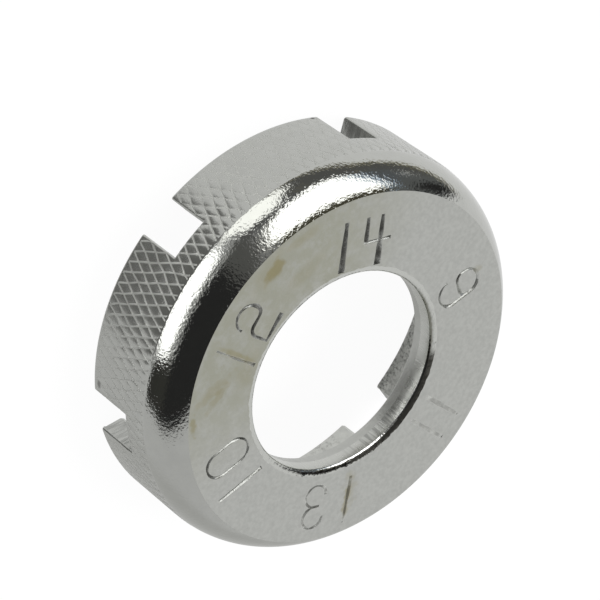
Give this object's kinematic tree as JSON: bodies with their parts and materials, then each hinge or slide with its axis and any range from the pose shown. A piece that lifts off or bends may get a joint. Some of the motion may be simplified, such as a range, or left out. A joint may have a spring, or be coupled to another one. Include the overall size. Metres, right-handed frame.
{
  "type": "spoke wrench",
  "caption": "Round cup-shaped spoke wrench pressed from plated steel, with square nipple slots cut in its rim and a size number stamped over each slot.",
  "frame": {"origin": "on the skirt's axis, in the plane of the slotted rim that the ring stands on", "axes": "+Z along the skirt's axis, from the slotted rim to the numbered face; -Y through the middle of the slot for size 12, so +X is a quarter turn on, between the slots for sizes 10 and 13"},
  "size_m": [0.04, 0.04, 0.0115],
  "materials": {
    "plated_steel": "satin plating, dulled and lightly stained with use"
  },
  "bodies": {
    "root": {"wrench_ring": "plated_steel"}
  },
  "joints": []
}
